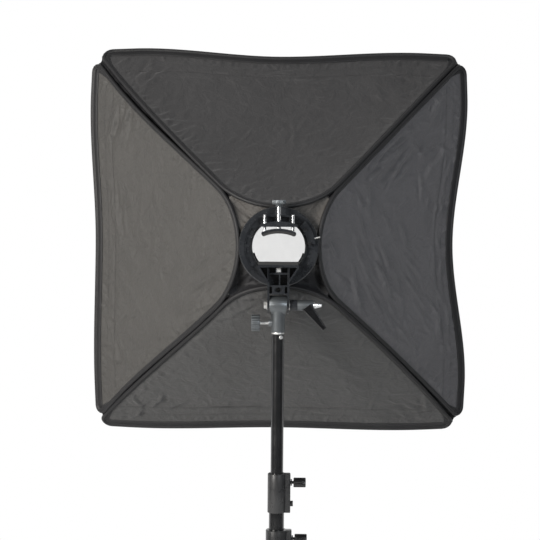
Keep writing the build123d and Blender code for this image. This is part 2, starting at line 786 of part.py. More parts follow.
with BuildPart() as plug:
    with BuildSketch(Plane.XY):
        Circle(lower_tube_r)
    extrude(amount=plug_flange_t)
    with BuildSketch(Plane.XY.offset(plug_flange_t)):
        Circle(lower_tube_r - wall - 0.1)
    extrude(amount=20)
save(plug.part, "base_plug")

# ---------------------------------------------------------------- leg spreader
def spoke_plane(angle, z):
    """Upright plane through the column's axis along a leg: local x points outward, local y up."""
    a = radians(angle)
    return Plane(origin=(0, 0, z), x_dir=(cos(a), sin(a), 0), z_dir=(sin(a), -cos(a), 0))


ear_half = leg_r + 0.1
with BuildPart() as brace_hub:
    with BuildSketch(Plane.XY.offset(brace_hub_z - 15)):
        Circle(25)
    extrude(amount=30)
    for angle in leg_angles.values():
        with BuildSketch(spoke_plane(angle, brace_hub_z)):
            with Locations((pivot_r / 2, 0)):
                Rectangle(pivot_r, 16)
            with Locations((pivot_r, 0)):
                Circle(8)
                Circle(pin_r, mode=Mode.SUBTRACT)
        extrude(amount=ear_half, both=True)
    with BuildSketch(Plane.XY.offset(brace_hub_z - 16)):
        Circle(lower_tube_r + fixed_gap)
    extrude(amount=32, mode=Mode.SUBTRACT)
save(brace_hub.part, "brace_hub")

tongue_half = 6.0
clevis_wall = 4.0
hub_bottom, hub_top = leg_hub_z - 16, leg_hub_z + 39
knob_boss_z = leg_hub_z + 28
knob_dir = Vector(0, -1, 0)


def knob_plane(y):
    """Plane that faces -Y at the leg hub's lock screw."""
    return Plane(origin=(0, -y, knob_boss_z), x_dir=(1, 0, 0), z_dir=knob_dir)


with BuildPart() as leg_hub:
    with BuildSketch(Plane.XY.offset(hub_bottom)):
        Circle(25)
    extrude(amount=hub_top - hub_bottom)
    for angle in leg_angles.values():
        with BuildSketch(spoke_plane(angle, leg_hub_z)):
            with Locations((pivot_r / 2, 0)):
                Rectangle(pivot_r, 18)
            with Locations((pivot_r, 0)):
                Circle(9)
                Circle(pin_r, mode=Mode.SUBTRACT)
        extrude(amount=tongue_half + 0.5 + clevis_wall, both=True)
        with BuildSketch(spoke_plane(angle, leg_hub_z)):
            with Locations((pivot_r + 0.5, 0)):
                Rectangle(24, 40)
        extrude(amount=tongue_half + 0.5, both=True, mode=Mode.SUBTRACT)
    with BuildSketch(knob_plane(20)):
        Circle(9)
    extrude(amount=14)
    with BuildSketch(Plane.XY.offset(hub_bottom - 1)):
        Circle(lower_tube_r + sliding_gap + 0.1)
    extrude(amount=hub_top - hub_bottom + 2, mode=Mode.SUBTRACT)
    with BuildSketch(knob_plane(15)):
        Circle(thread_r + running_gap)
    extrude(amount=25, mode=Mode.SUBTRACT)
save(leg_hub.part, "leg_hub")

save(clamp_screw_along(knob_plane(lower_tube_r + 0.7), 30), "leg_hub_screw")
save(lobed_knob(knob_plane(38.5), 13, 20, 8, 2.6, 9.8), "leg_hub_knob")

with BuildPart() as leg_pins:
    for angle in leg_angles.values():
        with BuildSketch(spoke_plane(angle, leg_hub_z)):
            with Locations((pivot_r, 0)):
                Circle(pin_r - 0.02)
        extrude(amount=tongue_half + 0.5 + clevis_wall, both=True)
        for hand in (-1, 1):
            with BuildSketch(spoke_plane(angle, leg_hub_z).offset(hand * (tongue_half + 0.5 + clevis_wall))):
                with Locations((pivot_r, 0)):
                    Circle(5)
            extrude(amount=hand * 1.8)
save(leg_pins.part, "leg_pins")


def leg_frame(angle):
    """Frame of a leg at its hub pivot: local z runs down the leg, local x lies along the pin."""
    a, spread = radians(angle), radians(leg_spread)
    pivot = Vector(pivot_r * cos(a), pivot_r * sin(a), leg_hub_z)
    down = Vector(sin(spread) * cos(a), sin(spread) * sin(a), -cos(spread))
    return Plane(origin=pivot, x_dir=(sin(a), -cos(a), 0), z_dir=down)


foot_cap = 32.0  # how far the rubber foot reaches up the leg
tube_short = 18.0  # the tube ends this far above the foot's sole, along the leg
for side, angle in leg_angles.items():
    frame = leg_frame(angle)
    with BuildPart() as leg:
        with BuildSketch(frame.offset(20)):
            Circle(leg_r)
            Circle(leg_r - wall, mode=Mode.SUBTRACT)
        extrude(amount=leg_length - tube_short - 20)
        with BuildSketch(frame.offset(14)):
            Circle(leg_r - 0.01)
        extrude(amount=14)
        with BuildSketch(frame):
            Rectangle(2 * tongue_half, 15)
        extrude(amount=16)
        with BuildSketch(Plane(origin=frame.origin, x_dir=frame.z_dir, z_dir=frame.x_dir)):
            Circle(7.5)
        extrude(amount=tongue_half, both=True)
        with BuildSketch(Plane(origin=frame.origin, x_dir=frame.z_dir, z_dir=frame.x_dir)):
            Circle(pin_r + 0.05)
            with Locations((brace_length, 0)):
                Circle(pin_r + 0.05)
        extrude(amount=15, both=True, mode=Mode.SUBTRACT)
    save(leg.part, f"leg_{side}")

    with BuildPart() as foot:
        with BuildSketch(frame.offset(leg_length - foot_cap)):
            Circle(leg_r + 2.5)
        extrude(amount=foot_cap + 20)
        with BuildSketch(frame.offset(leg_length - foot_cap)):
            Circle(leg_r + 0.02)
        extrude(amount=foot_cap - tube_short, mode=Mode.SUBTRACT)
        split(bisect_by=Plane.XY, keep=Keep.TOP)
    save(foot.part, f"foot_{side}")

    strap_t = 2.5
    strap_at = leg_r + 0.6
    a = radians(angle)
    knee = frame.origin + frame.z_dir * brace_length
    heel = Vector(pivot_r * cos(a), pivot_r * sin(a), brace_hub_z)
    with BuildPart() as brace:
        for hand in (-1, 1):
            place = Plane(origin=heel + frame.x_dir * hand * strap_at, x_dir=knee - heel,
                          z_dir=frame.x_dir * hand)
            with BuildSketch(place):
                with Locations((brace_length / 2, 0)):
                    Rectangle(brace_length, 14)
                Circle(7)
                with Locations((brace_length, 0)):
                    Circle(7)
                    Circle(pin_r, mode=Mode.SUBTRACT)
            extrude(amount=strap_t)
            for along in (0, brace_length):
                with BuildSketch(place.offset(strap_t)):
                    with Locations((along, 0)):
                        Circle(5)
                extrude(amount=1.8)
        with BuildSketch(Plane(origin=knee, z_dir=frame.x_dir)):
            Circle(pin_r)
        extrude(amount=strap_at + strap_t, both=True)
    save(brace.part, f"brace_{side}")
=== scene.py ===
import json
import math

import bpy
import numpy as np
from mathutils import Matrix, Vector, geometry, kdtree


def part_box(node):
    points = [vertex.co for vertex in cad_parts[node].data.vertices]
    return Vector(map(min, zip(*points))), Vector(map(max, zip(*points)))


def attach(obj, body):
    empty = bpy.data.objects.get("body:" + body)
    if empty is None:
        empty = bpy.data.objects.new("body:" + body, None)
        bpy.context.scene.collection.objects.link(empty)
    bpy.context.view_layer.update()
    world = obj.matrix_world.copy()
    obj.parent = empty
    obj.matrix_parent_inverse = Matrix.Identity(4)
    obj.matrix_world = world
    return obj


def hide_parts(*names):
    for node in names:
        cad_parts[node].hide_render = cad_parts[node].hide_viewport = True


# The looks of a folding studio softbox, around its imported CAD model. Metres, in the model's own
# frame: +Z up, the light leaves along +Y, and the photograph's camera looks along +Y at the back.

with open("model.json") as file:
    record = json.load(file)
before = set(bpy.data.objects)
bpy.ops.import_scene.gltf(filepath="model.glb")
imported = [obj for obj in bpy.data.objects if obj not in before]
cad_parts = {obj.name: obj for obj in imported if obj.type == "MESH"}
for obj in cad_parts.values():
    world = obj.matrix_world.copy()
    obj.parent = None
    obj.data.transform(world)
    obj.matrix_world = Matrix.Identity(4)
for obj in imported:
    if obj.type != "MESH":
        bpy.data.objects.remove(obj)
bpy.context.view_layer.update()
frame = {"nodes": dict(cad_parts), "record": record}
nodes = frame["nodes"]

# ---------------------------------------------------------------- sizes
WIRE_R = 0.0015  # hoop wire in the CAD model
HOOP_GAP = 0.0055  # from a hoop's side to the ridge between two panels
CORNER_R = 0.016  # a hoop's two outer corners
CLOTH_STEP = 0.0070  # spacing of the cloth's points before it is smoothed
CLOTH_THICKNESS = 0.0006
OUTLINE_POINTS = 320  # on a hoop's line where its binding is swept
FINE_OUTLINE_POINTS = 1600  # where distances to the hoop are measured
STITCH_PITCH = 0.0042

ring_low, ring_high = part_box("bayonet_ring")
RING = (ring_low + ring_high) / 2
hoop_low, hoop_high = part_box("spring_hoop_top")
REAR_R = hoop_low.z - RING.z + WIRE_R
FRONT_R = hoop_high.z - RING.z - WIRE_R
REAR_Y = hoop_low.y + WIRE_R
FRONT_Y = hoop_high.y - WIRE_R
SLOPE = math.atan2(FRONT_Y - REAR_Y, FRONT_R - REAR_R)
SLANT = math.hypot(FRONT_Y - REAR_Y, FRONT_R - REAR_R)
HALF_ANGLE = math.atan(math.cos(SLOPE))  # half the angle between a hoop's two sides
APEX_DROP = (REAR_R - HOOP_GAP) / math.cos(SLOPE)
APEX_R = APEX_DROP / (1 / math.sin(HALF_ANGLE) - 1)
FACE_HALF = (SLANT + APEX_DROP) * math.tan(HALF_ANGLE)

TURNS = {"top": 0.0, "right": 90.0, "bottom": 180.0, "left": 270.0}


# ---------------------------------------------------------------- materials
def new_material(name):
    """A node material and its nodes, links and shader."""
    material = bpy.data.materials.new(name)
    material.use_nodes = True
    tree = material.node_tree
    return material, tree, tree.nodes["Principled BSDF"]


def add_node(tree, kind, **inputs):
    """A node with some of its inputs set; a key with the prefix set_ is one of its properties."""
    node = tree.nodes.new(kind)
    for key, value in inputs.items():
        if key.startswith("set_"):
            setattr(node, key[4:], value)
        else:
            node.inputs[key.replace("_", " ")].default_value = value
    return node


def coordinates(tree, source="Object", scale=(1, 1, 1)):
    """Texture coordinates in metres, scaled."""
    place = tree.nodes.new("ShaderNodeTexCoord")
    mapping = add_node(tree, "ShaderNodeMapping", Scale=scale)
    tree.links.new(place.outputs[source], mapping.inputs["Vector"])
    return mapping.outputs["Vector"]


def noise(tree, vector, scale, detail=3.0, roughness=0.5, distortion=0.0):
    """The value of a noise texture."""
    node = add_node(tree, "ShaderNodeTexNoise", Scale=scale, Detail=detail, Roughness=roughness,
                    Distortion=distortion)
    tree.links.new(vector, node.inputs["Vector"])
    return node.outputs["Fac"]


def remap(tree, value, low, high, new_low, new_high):
    """A value moved from one range to another."""
    node = add_node(tree, "ShaderNodeMapRange")
    for socket, number in zip(node.inputs[1:5], (low, high, new_low, new_high)):
        socket.default_value = number
    tree.links.new(value, node.inputs[0])
    return node.outputs[0]


def blend_colours(tree, value, dark, light):
    """A colour between dark and light."""
    node = tree.nodes.new("ShaderNodeMix")
    node.data_type = "RGBA"
    node.inputs["A"].default_value = (*dark, 1)
    node.inputs["B"].default_value = (*light, 1)
    tree.links.new(value, node.inputs["Factor"])
    return node.outputs["Result"]


def add_bump(tree, shader, height, strength, distance):
    """Another bump on top of the ones that the shader already has."""
    node = add_node(tree, "ShaderNodeBump", Strength=strength, Distance=distance)
    tree.links.new(height, node.inputs["Height"])
    socket = shader.inputs["Normal"]
    if socket.is_linked:
        tree.links.new(socket.links[0].from_socket, node.inputs["Normal"])
    tree.links.new(node.outputs["Normal"], socket)


def scaled(colour, factor):
    """A lighter or darker colour."""
    return tuple(channel * factor for channel in colour)


def weave_height(tree, vector, pitch):
    """Height of a plain weave whose threads are pitch apart in UV metres."""
    waves = []
    for direction in ("X", "Y"):
        wave = add_node(tree, "ShaderNodeTexWave", Scale=math.pi / 10 / pitch, Distortion=0.0,
                        set_bands_direction=direction)
        tree.links.new(vector, wave.inputs["Vector"])
        waves.append(wave.outputs["Fac"])
    total = add_node(tree, "ShaderNodeMath", set_operation="MULTIPLY")
    for socket, wave in zip(total.inputs, waves):
        tree.links.new(wave, socket)
    return total.outputs[0]


def cloth_material(name, colour, variation=0.12, roughness=0.62, sheen=0.1, pitch=0.0009, crinkle=0.35,
                   gloss=0.35):
    """Woven nylon: a fine weave, faint mottling, small crinkles and a soft sheen. UVs are in metres."""
    material, tree, shader = new_material(name)
    uv = coordinates(tree, "UV")
    mottle = noise(tree, uv, 9, 4, 0.6)
    thread = noise(tree, coordinates(tree, "UV", (1, 14, 1)), 60, 2, 0.5)
    mixed = add_node(tree, "ShaderNodeMath", set_operation="ADD")
    tree.links.new(remap(tree, mottle, 0.3, 0.7, 0, 0.75), mixed.inputs[0])
    tree.links.new(remap(tree, thread, 0.3, 0.7, 0, 0.25), mixed.inputs[1])
    dark, light = scaled(colour, 1 - variation), scaled(colour, 1 + variation)
    tree.links.new(blend_colours(tree, mixed.outputs[0], dark, light), shader.inputs["Base Color"])
    tree.links.new(remap(tree, mottle, 0.3, 0.7, roughness - 0.06, roughness + 0.06),
                   shader.inputs["Roughness"])
    shader.inputs["Specular IOR Level"].default_value = gloss
    shader.inputs["Sheen Weight"].default_value = sheen
    shader.inputs["Sheen Roughness"].default_value = 0.45
    shader.inputs["Sheen Tint"].default_value = (1, 1, 1, 1)
    add_bump(tree, shader, noise(tree, uv, 38, 5, 0.55, 0.6), crinkle, 0.006)
    fine = noise(tree, coordinates(tree, "UV", (1, 2.2, 1)), 150, 3, 0.6, 0.8)
    add_bump(tree, shader, fine, crinkle * 0.7, 0.0016)
    add_bump(tree, shader, weave_height(tree, uv, pitch), 0.25, 0.0003)
    return material


def paint_shade_below(material, low, high, colour):
    """Paints shade into a cloth: a darker colour from the height high down to the height low, in UV metres.
    """
    tree = material.node_tree
    base = tree.nodes["Principled BSDF"].inputs["Base Color"]
    parts = tree.nodes.new("ShaderNodeSeparateXYZ")
    tree.links.new(coordinates(tree, "UV"), parts.inputs[0])
    mix = tree.nodes.new("ShaderNodeMix")
    mix.data_type = "RGBA"
    mix.inputs["A"].default_value = (*colour, 1)
    tree.links.new(remap(tree, parts.outputs["Y"], low, high, 0, 1), mix.inputs["Factor"])
    tree.links.new(base.links[0].from_socket, mix.inputs["B"])
    tree.links.new(mix.outputs["Result"], base)


def plastic_material(name, colour, roughness, grain_scale, grain, gloss=0.5, coat=0.0):
    """Moulded plastic with a fine spark-eroded grain and slightly uneven gloss."""
    material, tree, shader = new_material(name)
    place = coordinates(tree)
    uneven = noise(tree, place, 45, 4, 0.6)
    shade = blend_colours(tree, uneven, scaled(colour, 0.82), scaled(colour, 1.22))
    tree.links.new(shade, shader.inputs["Base Color"])
    tree.links.new(remap(tree, uneven, 0.3, 0.7, roughness - 0.07, roughness + 0.07),
                   shader.inputs["Roughness"])
    shader.inputs["Specular IOR Level"].default_value = gloss
    shader.inputs["Coat Weight"].default_value = coat
    shader.inputs["Coat Roughness"].default_value = 0.2
    add_bump(tree, shader, noise(tree, place, grain_scale, 2, 0.5), grain, 0.0003)
    return material


def metal_material(name, colour, roughness, brushed=(1, 1, 1), scratch=0.05, metallic=1.0):
    """Plated or polished metal with faint directional scratches."""
    material, tree, shader = new_material(name)
    lines = noise(tree, coordinates(tree, "Object", brushed), 220, 3, 0.6)
    stain = noise(tree, coordinates(tree), 60, 3, 0.5)
    shade = blend_colours(tree, stain, scaled(colour, 0.85), scaled(colour, 1.08))
    tree.links.new(shade, shader.inputs["Base Color"])
    shader.inputs["Metallic"].default_value = metallic
    tree.links.new(remap(tree, lines, 0.3, 0.7, max(0.03, roughness - 0.06), roughness + 0.08),
                   shader.inputs["Roughness"])
    add_bump(tree, shader, lines, scratch, 0.0002)
    return material


# Painted light and shade: the panels are one black nylon, and each side gets its own lighter or darker copy
# to stand in for how the light falls on that panel.
PANEL_SHADED_COLOURS = {
    "top": (0.031, 0.0305, 0.0315), "right": (0.080, 0.0785, 0.083),
    "bottom": (0.044, 0.044, 0.044), "left": (0.045, 0.0435, 0.041),
}
cloth = {side: cloth_material(f"black_nylon_shaded_{side}", colour, crinkle=0.8)
         for side, colour in PANEL_SHADED_COLOURS.items()}
# The gusset strip's own dark nylon, made near black, darker than the panels' nylon, as painted shade of its
# recess between the hoops.
gusset_cloth = cloth_material("gusset_nylon", (0.006, 0.006, 0.007), sheen=0.0, crinkle=0.8, gloss=0.2)
rear_cloth = cloth_material("rear_nylon", (0.056, 0.052, 0.048), crinkle=0.9)
# painted shade: the rear cloth's lower corners, below the ring, turn near black as if in shade
paint_shade_below(rear_cloth, RING.z - 0.055, RING.z - 0.005, (0.008, 0.008, 0.0095))
binding_tape = cloth_material("binding_tape", (0.015, 0.015, 0.016), 0.15, 0.52, 0.0, pitch=0.0014,
                              crinkle=0.2, gloss=0.25)
silver = cloth_material("silver_lining", (0.62, 0.63, 0.65), 0.06, 0.34, 0.0, crinkle=0.5, gloss=0.5)
silver.node_tree.nodes["Principled BSDF"].inputs["Metallic"].default_value = 0.75
white_cloth = cloth_material("white_diffuser", (0.50, 0.506, 0.48), 0.03, 0.75, 0.0, crinkle=0.1)
white_shader = white_cloth.node_tree.nodes["Principled BSDF"]
white_shader.inputs["Subsurface Weight"].default_value = 1.0
white_shader.inputs["Subsurface Radius"].default_value = (0.02, 0.02, 0.02)
white_shader.inputs["Subsurface Scale"].default_value = 1.0
thread = cloth_material("stitch_thread", (0.03, 0.03, 0.032), 0.1, 0.5, 0.1, crinkle=0.1)
elastic = cloth_material("elastic_band", (0.035, 0.034, 0.034), 0.15, 0.7, 0.3, pitch=0.002, crinkle=0.5)
hook_loop = cloth_material("hook_and_loop", (0.03, 0.03, 0.032), 0.25, 0.9, 0.6, pitch=0.0018, crinkle=1.0)

bracket_plastic = plastic_material("bracket_plastic", (0.013, 0.0145, 0.017), 0.27, 1400, 0.12)
ring_paint = plastic_material("ring_paint", (0.008, 0.009, 0.010), 0.24, 900, 0.1)
knob_plastic = plastic_material("knob_plastic", (0.004, 0.004, 0.0045), 0.24, 1200, 0.12, coat=0.1)
collar_plastic = plastic_material("collar_plastic", (0.020, 0.0205, 0.0215), 0.32, 1200, 0.12)
rubber = plastic_material("pad_rubber", (0.020, 0.020, 0.020), 0.75, 600, 0.35, gloss=0.3)
foot_rubber = plastic_material("foot_rubber", (0.022, 0.022, 0.022), 0.8, 500, 0.4, gloss=0.3)
black_tube = plastic_material("black_tube", (0.0075, 0.0078, 0.0085), 0.2, 700, 0.02, coat=0.4)
black_screw = metal_material("black_oxide", (0.05, 0.05, 0.052), 0.38)
chrome = metal_material("chrome", (0.84, 0.85, 0.86), 0.20, (1, 1, 6))
zinc = metal_material("zinc", (0.66, 0.66, 0.65), 0.45, (1, 1, 4), 0.1)
cast_metal = metal_material("satin_grey", (0.115, 0.125, 0.132), 0.42, (6, 6, 1), 0.12, metallic=0.8)

FINISHES = {
    "spring_steel": zinc, "bracket_plastic": bracket_plastic, "ring_plate": ring_paint, "rubber": rubber,
    "chrome": chrome, "zinc": zinc, "cast_metal": cast_metal, "knob_plastic": knob_plastic,
    "black_screw": black_screw, "black_tube": black_tube, "collar_plastic": collar_plastic,
    "foot_rubber": foot_rubber, "black_cloth": cloth["top"], "silver_lining": silver,
    "white_diffuser": white_cloth, "hook_and_loop": hook_loop, "elastic": elastic,
}
for entry in frame["record"]["subparts"]:
    node = nodes[entry["node"]]
    node.data.materials.clear()
    node.data.materials.append(FINISHES[entry["material_slot"]])

# the moulded and cast parts have softened edges
SOFT_EDGES = {
    "bracket_body": 0.0005, "clamp_jaw": 0.0005, "stand_socket": 0.0006, "socket_knob": 0.0004,
    "tilt_lever": 0.0004, "lever_hub": 0.0003, "clamp_knob": 0.0003, "upper_collar": 0.0006,
    "lower_collar": 0.0006, "upper_collar_knob": 0.0005, "lower_collar_knob": 0.0005, "leg_hub": 0.0006,
    "brace_hub": 0.0006, "leg_hub_knob": 0.0005, "shelf_pad": 0.0004, "square_nut": 0.0003, "spigot": 0.0003,
}
for name, width in SOFT_EDGES.items():
    weld = nodes[name].modifiers.new("weld", "WELD")
    weld.merge_threshold = 0.00001
    bevel = nodes[name].modifiers.new("soft_edges", "BEVEL")
    bevel.width = width
    bevel.segments = 2
    bevel.limit_method = "ANGLE"
    bevel.angle_limit = math.radians(32)
    bevel.harden_normals = True


# ---------------------------------------------------------------- stage
def make_stage():
    """A pale floor, soft lights, a white background and the photograph's camera."""
    scene = bpy.context.scene
    scene.view_settings.view_transform = "Standard"
    world = bpy.data.worlds.new("studio")
    scene.world = world
    world.use_nodes = True
    tree = world.node_tree
    # a white backdrop beyond the softbox, and a dim room on the other side
    sky = tree.nodes["Background"]
    sky.inputs["Color"].default_value = (1, 1, 1, 1)
    direction = tree.nodes.new("ShaderNodeTexCoord")
    split = tree.nodes.new("ShaderNodeSeparateXYZ")
    tree.links.new(direction.outputs["Generated"], split.inputs[0])
    tree.links.new(remap(tree, split.outputs["Y"], -0.1, 0.6, 0.10, 1.0), sky.inputs["Strength"])

    bpy.ops.mesh.primitive_circle_add(vertices=96, radius=2.4, fill_type="NGON", location=(0, 0.1, -0.0005))
    floor = bpy.context.object
    floor.name = "floor"
    pale, floor_tree, shader = new_material("pale_floor")
    soft = noise(floor_tree, coordinates(floor_tree), 3, 3)
    floor_tree.links.new(blend_colours(floor_tree, soft, (0.80, 0.80, 0.80), (0.84, 0.84, 0.84)),
                         shader.inputs["Base Color"])
    shader.inputs["Roughness"].default_value = 0.6
    floor.data.materials.append(pale)

    def area_light(name, place, aim, size, power, colour=(1, 1, 1)):
        light = bpy.data.lights.new(name, "AREA")
        light.shape = "RECTANGLE"
        light.size, light.size_y = size
        light.energy = power
        light.color = colour
        lamp = bpy.data.objects.new(name, light)
        scene.collection.objects.link(lamp)
        lamp.location = place
        lamp.rotation_euler = (Vector(aim) - Vector(place)).to_track_quat("-Z", "Y").to_euler()

    middle = (0, 0.2, RING.z)
    area_light("key", (-2.6, -2.6, 2.0), middle, (1.3, 1.3), 230, (1.0, 0.965, 0.92))
    area_light("fill", (1.7, -3.0, 2.3), middle, (1.0, 1.0), 55, (0.90, 0.95, 1.0))
    area_light("front", (0.6, 3.2, 2.4), middle, (2.2, 2.2), 6)

    camera_data = bpy.data.cameras.new("camera")
    camera = bpy.data.objects.new("camera", camera_data)
    scene.collection.objects.link(camera)
    scene.camera = camera
    camera_data.sensor_width = 36.0
    camera_data.lens = 112.6
    camera.location = (-0.01, -3.3, RING.z + 0.145)
    aim = Vector((-0.0166, 0.0, RING.z - 0.045))
    look = (aim - camera.location).to_track_quat("-Z", "Y")
    roll = Matrix.Rotation(math.radians(0.45), 4, "Z").to_quaternion()
    camera.rotation_mode = "QUATERNION"
    camera.rotation_quaternion = look @ roll


make_stage()


# ---------------------------------------------------------------- a panel's own coordinates
def smooth(x):
    """Smooth step from 0 to 1."""
    x = np.clip(x, 0, 1)
    return x * x * (3 - 2 * x)


# How each hoop really stands. edge: how far its outer edge stands out at the -u end, the middle and
# the +u end. low and high: how far its -u and +u sides draw back from the ridge, near the ring and
# near the outer corner.
STANCE = {
    "top": {"edge": (0.012, -0.011, 0.006), "low": (-0.002, -0.006), "high": (-0.002, 0.001)},
    "right": {"edge": (0.006, -0.032, 0.009), "low": (0.000, 0.000), "high": (0.003, 0.004)},
    "bottom": {"edge": (0.012, 0.001, 0.012), "low": (-0.005, -0.005), "high": (0.006, -0.006)},
    "left": {"edge": (-0.003, -0.012, 0.007), "low": (-0.006, 0.008), "high": (-0.001, 0.013)},
}


def half_across(t, margin=0.0):
    """Half the flat panel's width at the height t, less a margin from each side."""
    return (t + APEX_DROP) * math.tan(HALF_ANGLE) - margin


def stand(side, u, t):
    """Moves points of the flat hoop plane to where the sprung hoop really holds them: (u, t, lift)."""
    stance = STANCE[side]
    s = np.clip(t / SLANT, 0, 1.1)
    a = np.clip(u / np.maximum(half_across(t), 1e-6), -1, 1)
    low_edge, mid_edge, high_edge = stance["edge"]
    ends = np.where(a < 0, low_edge, high_edge)
    edge = mid_edge + (ends - mid_edge) * smooth(np.abs(a) / 0.8)
    reach = s**2
    peak = 0.444  # of each weight below, before it is divided
    near, far = 3 * (1 - s) ** 2 * s / peak, 3 * (1 - s) * s**2 / peak
    near, far = np.maximum(near, 0), np.maximum(far, 0)
    draw_low = stance["low"][0] * near + stance["low"][1] * far
    draw_high = stance["high"][0] * near + stance["high"][1] * far
    draw = np.where(a < 0, draw_low, -draw_high) * a**2 / math.cos(HALF_ANGLE)
    lift = 0.006 * (1 - 2.2 * a**2) * s**2
    return u + draw, t + edge * reach / math.cos(SLOPE), lift


def panel_axes(side):
    """The panel's origin, across, up-the-slant and outward directions in the row frame."""
    angle = math.radians(TURNS[side])
    outward = np.array([math.sin(angle), 0, math.cos(angle)])
    across = np.array([math.cos(angle), 0, -math.sin(angle)])
    forward = np.array([0.0, 1.0, 0.0])
    up = outward * math.cos(SLOPE) + forward * math.sin(SLOPE)
    normal = outward * math.sin(SLOPE) - forward * math.cos(SLOPE)
    origin = np.array([RING.x, REAR_Y, RING.z]) + outward * REAR_R
    return origin, across, up, normal


def to_frame(side, u, t, lift):
    """Panel coordinates to points in the row frame."""
    origin, across, up, normal = panel_axes(side)
    return origin + np.outer(u, across) + np.outer(t, up) + np.outer(lift, normal)


def resample(points, count):
    """count points at even spacing round a closed line."""
    closed = np.vstack([points, points[:1]])
    steps = np.linalg.norm(np.diff(closed, axis=0), axis=1)
    along = np.concatenate([[0], np.cumsum(steps)])
    at = np.linspace(0, along[-1], count, endpoint=False)
    return np.stack([np.interp(at, along, closed[:, k]) for k in range(closed.shape[1])], axis=1)


def rounded_outline(corners, radii, count):
    """count even points round a polygon with rounded corners."""
    points = []
    for i, radius in enumerate(radii):
        before, here, after = (np.array(corners[(i + k) % len(corners)], float) for k in (-1, 0, 1))
        arriving = (here - before) / np.linalg.norm(here - before)
        leaving = (after - here) / np.linalg.norm(after - here)
        cross = arriving[0] * leaving[1] - arriving[1] * leaving[0]
        turn = math.atan2(cross, arriving @ leaving)
        side = math.copysign(1, turn)
        start = here - arriving * radius * math.tan(abs(turn) / 2)
        centre = start + side * radius * np.array([-arriving[1], arriving[0]])
        for angle in np.linspace(0, turn, 40):
            c, s = math.cos(angle), math.sin(angle)
            x, y = start - centre
            points.append(centre + [c * x - s * y, s * x + c * y])
    return resample(np.array(points), count)


def hoop_outline(count):
    """The flat outline of a hoop's wire, as (u, t) points."""
    corners = [(FACE_HALF, SLANT), (-FACE_HALF, SLANT), (0, -APEX_DROP)]
    return rounded_outline(corners, [CORNER_R, CORNER_R, APEX_R], count)


def hoop_length():
    """The length of a hoop's wire."""
    outline = hoop_outline(400)
    return np.linalg.norm(np.roll(outline, -1, axis=0) - outline, axis=1).sum()


# ---------------------------------------------------------------- mesh helpers
def new_object(name, points, faces):
    """An object in the scene with a mesh of its own."""
    mesh = bpy.data.meshes.new(name)
    mesh.from_pydata([tuple(p) for p in points], [], [tuple(int(i) for i in f) for f in faces])
    piece = bpy.data.objects.new(name, mesh)
    bpy.context.scene.collection.objects.link(piece)
    return piece


def new_piece(name, points, faces, material, uv):
    """A smooth mesh piece that rides on the softbox's body. uv gives one (u, v) for each point."""
    piece = new_object(name, points, faces)
    mesh = piece.data
    mesh.update()
    layer = mesh.uv_layers.new(name="uv")
    loops = np.zeros(len(mesh.loops), np.int32)
    mesh.loops.foreach_get("vertex_index", loops)
    layer.data.foreach_set("uv", np.asarray(uv, np.float32)[loops].ravel())
    mesh.polygons.foreach_set("use_smooth", [True] * len(mesh.polygons))
    mesh.materials.append(material)
    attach(piece, "head")
    return piece


def add_thickness(piece, thickness):
    """Gives a sheet its thickness, half on each side."""
    modifier = piece.modifiers.new("thickness", "SOLIDIFY")
    modifier.thickness = thickness
    modifier.offset = 0


def grid_faces(rows, columns, closed=False):
    """Quads between rows of points, closed round each row if asked."""
    last = columns if closed else columns - 1
    return [(r * columns + c, r * columns + (c + 1) % columns, (r + 1) * columns + (c + 1) % columns,
             (r + 1) * columns + c) for r in range(rows - 1) for c in range(last)]


def is_inside(point, outline, margin):
    """Whether a point is inside a closed convex outline, by at least margin."""
    ahead = np.roll(outline, -1, axis=0) - outline
    towards = np.asarray(point) - outline
    cross = ahead[:, 0] * towards[:, 1] - ahead[:, 1] * towards[:, 0]
    return bool((cross / np.linalg.norm(ahead, axis=1) > margin).all())


def flat_cut():
    """Triangles that fill a hoop: (u, t) points, faces and how many points are on the outline."""
    outline = hoop_outline(int(round(hoop_length() / CLOTH_STEP)))
    low, high = outline.min(0), outline.max(0)
    rows = []
    height = CLOTH_STEP * math.sqrt(3) / 2
    for row, t in enumerate(np.arange(low[1], high[1], height)):
        shift = CLOTH_STEP / 2 * (row % 2)
        rows += [(u + shift, t) for u in np.arange(low[0], high[0], CLOTH_STEP)]
    inside = [p for p in rows if is_inside(p, outline, CLOTH_STEP * 0.6)]
    points = [Vector(p) for p in [*outline, *inside]]
    edges = [(i, (i + 1) % len(outline)) for i in range(len(outline))]
    result = geometry.delaunay_2d_cdt(points, edges, [], 1, 1e-7)
    return np.array([tuple(p) for p in result[0]]), result[2], len(outline)


def take_result(piece):
    """The points and faces of an object after its modifiers. The object is removed."""
    graph = bpy.context.evaluated_depsgraph_get()
    result = bpy.data.meshes.new_from_object(piece.evaluated_get(graph))
    out = np.zeros(len(result.vertices) * 3)
    result.vertices.foreach_get("co", out)
    faces = [tuple(face.vertices) for face in result.polygons]
    mesh = piece.data
    bpy.data.objects.remove(piece)
    bpy.data.meshes.remove(mesh)
    bpy.data.meshes.remove(result)
    return out.reshape(-1, 3), faces


def smooth_mesh(points, faces):
    """A mesh's points and faces after one Catmull-Clark subdivision."""
    rough = new_object("smoothing", points, faces)
    modifier = rough.modifiers.new("smooth", "SUBSURF")
    modifier.levels = 1
    modifier.render_levels = 1
    modifier.boundary_smooth = "PRESERVE_CORNERS"
    return take_result(rough)


# ---------------------------------------------------------------- cloth
def band_width(cut):
    """How far the binding's flat band reaches in from the wire, wide along the outer edge."""
    near_edge = smooth((cut[:, 1] - (SLANT - 0.05)) / 0.04)
    return 0.0062 + 0.0105 * near_edge


